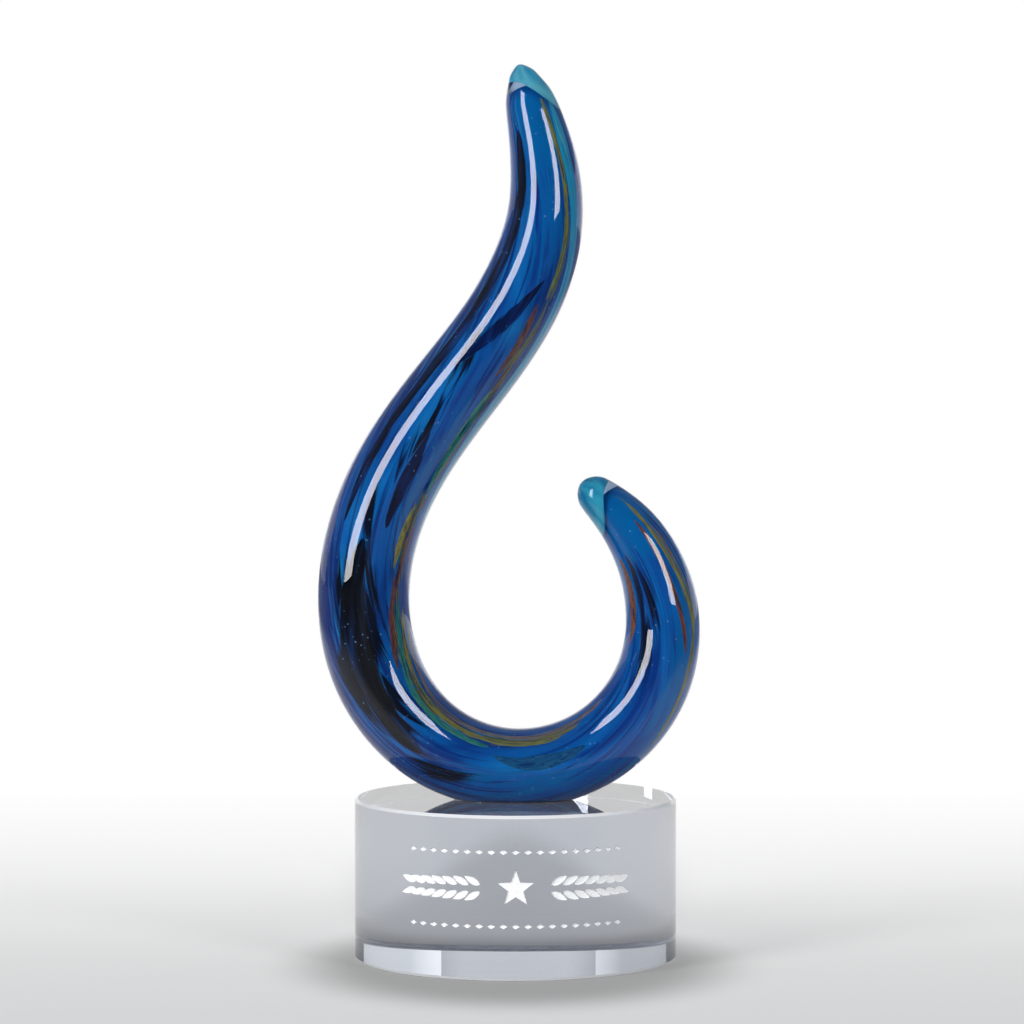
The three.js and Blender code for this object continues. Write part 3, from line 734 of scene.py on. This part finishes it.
# Name, how ragged its edges are, and tones from dark to light.
DARK_GLASS = {
    "dark_mass": ("mass_glass", 0.48, ("0E1118", "171C28", "1E2C48", "204C90")),
    "dark_streak": ("streak_glass", 0.58, ("121A2A", "182338", "1A3262", "1C529C")),
    "feather": ("feather_glass", 0.54, ("0C1838", "12285C", "184490", "1C60B4")),
}
made_glass = {}
for node, (along, angles, widths) in CANES.items():
    kind = next(word for word in (*CANE_GLASS, *DARK_GLASS) if word in node)
    piece = cane_piece(node.replace("_", "-"), along, angles, widths)
    if kind not in made_glass and kind in DARK_GLASS:
        made_glass[kind] = dark_glass(*DARK_GLASS[kind])
    elif kind not in made_glass:
        made_glass[kind] = cane_glass(*CANE_GLASS[kind])
    piece.data.materials.append(made_glass[kind])
    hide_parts(node)
    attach(piece, "root")


# ---- crystal base and bond --------------------------------------------------------------------------
ENGRAVING_DEPTH = 0.3 * MM
CRYSTAL_TINT = rgb("BCC2CD")
CRYSTAL_DENSITY = 14
# The ornament on the front: sizes and steps in mm, heights as shares of the base's height.
STAR_RADIUS = 5.2
LEAF_LENGTH = 5.2
LEAF_WIDTH = 2
LEAVES = 7
FIRST_LEAF = 9.6
LEAF_STEP = 3.2
LEAF_RISE = 0.9
LOZENGES = 19
LOZENGE_STEP = 3.3
LOZENGE_LENGTH = 2.3
LOZENGE_WIDTH = 1.3
STAR_HEIGHT = 0.56
LOZENGE_HEIGHTS = (0.78, 0.33)


def lathe(name, profile, segments):
    """A solid turned about Z from a profile of (radius, height), closed flat at both ends."""
    turns = np.arange(segments) * 2 * math.pi / segments
    vertices = [(r * math.cos(a), r * math.sin(a), height) for r, height in profile for a in turns]
    faces = []
    for k in range(segments):
        after = (k + 1) % segments
        for i in range(len(profile) - 1):
            a, b = i * segments + k, i * segments + after
            faces.append((a, b, b + segments, a + segments))
    top = (len(profile) - 1) * segments
    faces.append(tuple(reversed(range(segments))))
    faces.append(tuple(top + k for k in range(segments)))
    return mesh_object(name, vertices, faces)


def lozenge(length, width):
    return [(-length / 2, 0), (0, -width / 2), (length / 2, 0), (0, width / 2)]


def leaf(length, width):
    bows = [(0.12, 0.26), (0.3, 0.44), (0.5, 0.48), (0.7, 0.36), (0.88, 0.16)]
    lower = [(x * length, -y * width) for x, y in bows]
    upper = [(x * length, y * width) for x, y in reversed(bows)]
    return [(0, 0), *lower, (length, 0), *upper]


def star(radius):
    reach = [radius if i % 2 == 0 else 0.42 * radius for i in range(10)]
    turns = [math.pi / 2 + i * math.pi / 5 for i in range(10)]
    return [(r * math.cos(a), r * math.sin(a)) for r, a in zip(reach, turns)]


def pressed(outline, along, height, turn=0.0):
    """Vertices and faces of a prism that presses an outline into the base's front."""
    count = len(outline)
    vertices = []
    for radius in (BASE_RADIUS - ENGRAVING_DEPTH, BASE_RADIUS + 1 * MM):
        for x, y in outline:
            x, y = x * MM, y * MM
            side = x * math.cos(turn) - y * math.sin(turn)
            rise = x * math.sin(turn) + y * math.cos(turn)
            angle = (along * MM + side) / BASE_RADIUS
            vertices.append((radius * math.sin(angle), -radius * math.cos(angle), height + rise))
    faces = [tuple(reversed(range(count))), tuple(range(count, 2 * count))]
    for k in range(count):
        after = (k + 1) % count
        faces.append((k, after, count + after, count + k))
    return vertices, faces


def engraving(parity):
    """A star between two laurel sprays, with a row of lozenges above and below.

    The even and the odd outlines come apart as two sets, so that none touches another of its set.
    """
    middle = STAR_HEIGHT * BASE_HEIGHT
    prisms = [pressed(star(STAR_RADIUS), 0, middle)] if parity else []
    outline = leaf(LEAF_LENGTH, LEAF_WIDTH)
    for side in (-1, 1):
        for i in range(parity, LEAVES, 2):
            along = side * (FIRST_LEAF + i * LEAF_STEP)
            outward = 0 if side > 0 else math.pi
            lean = side * math.radians(28 - 2 * i)
            prisms.append(pressed(outline, along, middle + LEAF_RISE * MM, outward + lean))
            prisms.append(pressed(outline, along, middle - LEAF_RISE * MM, outward - lean))
    outline = lozenge(LOZENGE_LENGTH, LOZENGE_WIDTH)
    for i in range(parity, LOZENGES, 2):
        for height in LOZENGE_HEIGHTS:
            prisms.append(pressed(outline, (i - LOZENGES // 2) * LOZENGE_STEP, height * BASE_HEIGHT))
    return prisms


def frosted():
    """The matt white of the sandblasted ornament."""
    made, nodes, links, shader = material("frosted_engraving")
    grain = nodes.new("ShaderNodeTexNoise")
    grain.inputs["Scale"].default_value = 3000
    place = nodes.new("ShaderNodeTexCoord")
    links.new(place.outputs["Object"], grain.inputs["Vector"])
    tones = ramp(nodes, [(0.3, rgb("E6E9EC")), (0.7, rgb("FCFDFD"))])
    links.new(grain.outputs["Fac"], tones.inputs[0])
    links.new(tones.outputs[0], shader.inputs["Base Color"])
    shader.inputs["Roughness"].default_value = 0.85
    return made


def bevel_painted_highlight():
    """The bevels made pale and matt white, a painted highlight for the bright lines along the rims, with a
    little roughness.
    """
    made = clear_glass("ground_bevel", CRYSTAL_TINT, CRYSTAL_DENSITY)
    nodes, links = made.node_tree.nodes, made.node_tree.links
    shader = nodes["Principled BSDF"]
    place = nodes.new("ShaderNodeTexCoord")
    grain = noise(nodes, links, place.outputs["Object"], 1500, 2)
    rough = ramp(nodes, [(0.3, (0.12, 0.12, 0.12, 1)), (0.7, (0.24, 0.24, 0.24, 1))])
    links.new(grain, rough.inputs[0])
    links.new(rough.outputs[0], shader.inputs["Roughness"])
    shader.inputs["Transmission Weight"].default_value = 0.12
    shader.inputs["Base Color"].default_value = rgb("F6F8FC")
    return made


def crystal_base():
    """The bevelled disc with the ornament cut into its front."""
    rim = BASE_RADIUS - BASE_BEVEL
    profile = [
        (rim, 0), (BASE_RADIUS, BASE_BEVEL), (BASE_RADIUS, BASE_HEIGHT - BASE_BEVEL), (rim, BASE_HEIGHT),
    ]
    base = lathe("crystal-base", profile, 256)
    base.data.materials.append(clear_glass("optical_crystal", CRYSTAL_TINT, CRYSTAL_DENSITY))
    base.data.materials.append(frosted())
    for parity in (0, 1):
        vertices, faces = [], []
        for points_in, faces_in in engraving(parity):
            faces += [tuple(index + len(vertices) for index in face) for face in faces_in]
            vertices += points_in
        cutter = mesh_object("cutter", vertices, faces)
        cutter.data.materials.append(base.data.materials[0])
        cutter.data.materials.append(base.data.materials[1])
        cutter.data.polygons.foreach_set("material_index", np.ones(len(faces), np.int32))
        cut = base.modifiers.new("engrave", "BOOLEAN")
        cut.object = cutter
        cut.operation = "DIFFERENCE"
        cut.solver = "MANIFOLD"
        evaluated = base.evaluated_get(bpy.context.evaluated_depsgraph_get())
        shaped = bpy.data.meshes.new_from_object(evaluated)
        base.modifiers.clear()
        base.data = shaped
        bpy.data.objects.remove(cutter)
    # The bevel faces get the pale painted highlight.
    shaped.materials.append(bevel_painted_highlight())
    for face in shaped.polygons:
        slanted = 0.3 < abs(face.normal.z) < 0.95
        if slanted and math.hypot(*face.center[:2]) > rim:
            face.material_index = 2
    polish(shaped)
    return base


def polish(mesh):
    """Exact round normals on the side wall, and crisp edges everywhere else."""
    normals = []
    for face in mesh.polygons:
        around = all(
            abs(math.hypot(*mesh.vertices[i].co[:2]) - BASE_RADIUS) < 0.02 * MM for i in face.vertices
        )
        on_wall = around and abs(face.normal.z) < 0.02
        for index in face.vertices:
            if on_wall:
                x, y = mesh.vertices[index].co[:2]
                normals.append(Vector((x, y, 0)).normalized())
            else:
                normals.append(face.normal)
    mesh.normals_split_custom_set(normals)


base = crystal_base()
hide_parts("crystal_base")
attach(base, "root")

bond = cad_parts["bond_film"]
bond.data.materials.clear()
bond.data.materials.append(clear_glass("adhesive", rgb("DDE2E8"), 100))


# ---- camera, light and floor ------------------------------------------------------------------------
CAMERA_DISTANCE = 1.28
CAMERA_HEIGHT = 0.194
AIM_HEIGHT = 0.1235
AIM_SIDE = -0.00096
LENS = 163.3

camera = bpy.data.objects.new("camera", bpy.data.cameras.new("camera"))
bpy.context.scene.collection.objects.link(camera)
camera.location = (AIM_SIDE, -CAMERA_DISTANCE, CAMERA_HEIGHT)
camera.data.lens = LENS
camera.data.sensor_width = 36
camera.data.clip_end = 50
aim = Vector((AIM_SIDE, 0, AIM_HEIGHT)) - camera.location
camera.rotation_euler = aim.to_track_quat("-Z", "Y").to_euler()
bpy.context.scene.camera = camera


def softbox(name, azimuth, distance, low, high, width, strength):
    """A tall panel facing the award. Azimuth is from the camera's side, positive to the right."""
    light = bpy.data.lights.new(name, "AREA")
    light.shape = "RECTANGLE"
    light.size = width
    light.size_y = high - low
    light.energy = strength * width * (high - low)
    light.color = (1.0, 1.0, 1.0)
    lamp = bpy.data.objects.new(name, light)
    bpy.context.scene.collection.objects.link(lamp)
    angle = math.radians(azimuth)
    lamp.location = (distance * math.sin(angle), -distance * math.cos(angle), (low + high) / 2)
    towards = Vector((0, 0, lamp.location.z)) - lamp.location
    lamp.rotation_euler = towards.to_track_quat("-Z", "Y").to_euler()
    return lamp


softbox("left_softbox", -45, 3.0, 0.1, 2.6, 1.05, 37)
softbox("rear_left_softbox", -140, 3.0, 0.05, 0.75, 2.2, 1.6)
softbox("rear_right_softbox", 140, 3.0, 0.05, 0.75, 2.4, 2.6)
softbox("right_softbox", 40, 3.0, 0.48, 2.0, 0.9, 37)


# Brightness of the surroundings from the viewer's side (0) round to straight behind the award (1).
WORLD_TONES = [
    (0.25, (0.03, 0.035, 0.04, 1)), (0.6, (0.16, 0.17, 0.18, 1)),
    (0.93, (0.26, 0.28, 0.3, 1)), (0.982, (1, 1, 1, 1)),
]


def surroundings():
    """White straight behind the award, falling to dark grey on the viewer's side."""
    world = bpy.data.worlds.new("studio")
    bpy.context.scene.world = world
    world.use_nodes = True
    nodes, links = world.node_tree.nodes, world.node_tree.links
    place = nodes.new("ShaderNodeTexCoord")
    split = nodes.new("ShaderNodeSeparateXYZ")
    links.new(place.outputs["Generated"], split.inputs[0])
    tones = ramp(nodes, WORLD_TONES)
    links.new(calculate(nodes, links, "MULTIPLY_ADD", split.outputs["Y"], 0.5, 0.5), tones.inputs[0])
    links.new(tones.outputs[0], nodes["Background"].inputs["Color"])
    nodes["Background"].inputs["Strength"].default_value = 1.0


surroundings()


# Air under the polished underside, too thin to see, so that the underside mirrors as it should.
FLOOR_GAP = 0.2 * MM


FLOOR_REACH = 6.0
# Share of the floor's light that is painted glow, its own emission, from just in front of the award (0) to
# behind it (1).
FLOOR_PAINTED_GLOW = [(0, 0.3), (0.17, 0.36), (0.33, 0.46), (0.46, 0.61), (0.61, 0.77), (0.77, 0.88), (1, 1)]


def map_range(nodes, links, value, start, end, first, last, interpolation="LINEAR"):
    made = nodes.new("ShaderNodeMapRange")
    made.interpolation_type = interpolation
    for name, number in (("From Min", start), ("From Max", end), ("To Min", first), ("To Max", last)):
        made.inputs[name].default_value = number
    links.new(value, made.inputs["Value"])
    return made.outputs[0]


def floor_distance(nodes, links, place, centre, reach_across, reach_back):
    """Distance on the floor from a centre on the Y axis, in reaches of an ellipse."""
    around = nodes.new("ShaderNodeMapping")
    around.inputs["Location"].default_value = (0, -centre / reach_back, 0)
    around.inputs["Scale"].default_value = (1 / reach_across, 1 / reach_back, 0)
    links.new(place, around.inputs[0])
    length = nodes.new("ShaderNodeVectorMath")
    length.operation = "LENGTH"
    links.new(around.outputs[0], length.inputs[0])
    return length.outputs["Value"]


def floor_with_painted_light_and_shade():
    """Pale and matt near the award, with a painted glow that rises to white far behind it, and painted
    shade: a contact shadow under the award, a soft shadow behind it, and dimming far to the sides and in
    front.
    """
    made, nodes, links, shader = material("floor")
    place = nodes.new("ShaderNodeTexCoord").outputs["Object"]
    split = nodes.new("ShaderNodeSeparateXYZ")
    links.new(place, split.inputs[0])
    back = split.outputs["Y"]
    painted_glow_share = ramp(nodes, [(y, (f, f, f, 1)) for y, f in FLOOR_PAINTED_GLOW])
    links.new(map_range(nodes, links, back, -0.2, 0.4, 0, 1), painted_glow_share.inputs[0])
    # Painted shade: the contact shadow under the award, the soft shadow behind it, and the dimmer floor to
    # the sides and in front, drawn into the floor's colour and glow.
    under = floor_distance(nodes, links, place, -0.01375, 1, 1.25)
    behind = floor_distance(nodes, links, place, 0.16, 0.053, 0.17)
    aside = calculate(nodes, links, "ABSOLUTE", split.outputs["X"])
    widened = calculate(nodes, links, "MULTIPLY_ADD", back, -0.13, aside)
    lit = map_range(nodes, links, under, 0.036, 0.075, 0.52, 1, "SMOOTHERSTEP")
    for value, start, end, first, last in (
        (behind, 0.5, 1.15, 0.8, 1),
        (widened, 0.2, 0.5, 1, 0.3),
        (back, -0.24, -0.14, 0.3, 1),
    ):
        shade = map_range(nodes, links, value, start, end, first, last, "SMOOTHSTEP")
        lit = calculate(nodes, links, "MULTIPLY", lit, shade)
    # Painted glow: the floor gives off light of its own though it is no lamp.
    glow = nodes.new("ShaderNodeEmission")
    for tone, socket in ((0.8, shader.inputs["Base Color"]), (1.0, glow.inputs["Color"])):
        links.new(mix(nodes, links, lit, (0, 0, 0, 1), (tone, tone, tone, 1)), socket)
    shader.inputs["Roughness"].default_value = 0.9
    shader.inputs["Specular IOR Level"].default_value = 0.0
    blend = nodes.new("ShaderNodeMixShader")
    for source, socket in zip((painted_glow_share, shader, glow), blend.inputs):
        links.new(source.outputs[0], socket)
    links.new(blend.outputs[0], nodes["Material Output"].inputs["Surface"])
    return made


def floor():
    """A pale floor with a painted glow that brightens it into the white background behind the award, and
    painted shadows near the award.
    """
    corners = ((-1, -1), (1, -1), (1, 1), (-1, 1))
    vertices = [(x * FLOOR_REACH, y * FLOOR_REACH, -FLOOR_GAP) for x, y in corners]
    piece = mesh_object("floor", vertices, [(0, 1, 2, 3)])
    piece.data.materials.append(floor_with_painted_light_and_shade())


floor()

bpy.context.scene.view_settings.view_transform = "Standard"
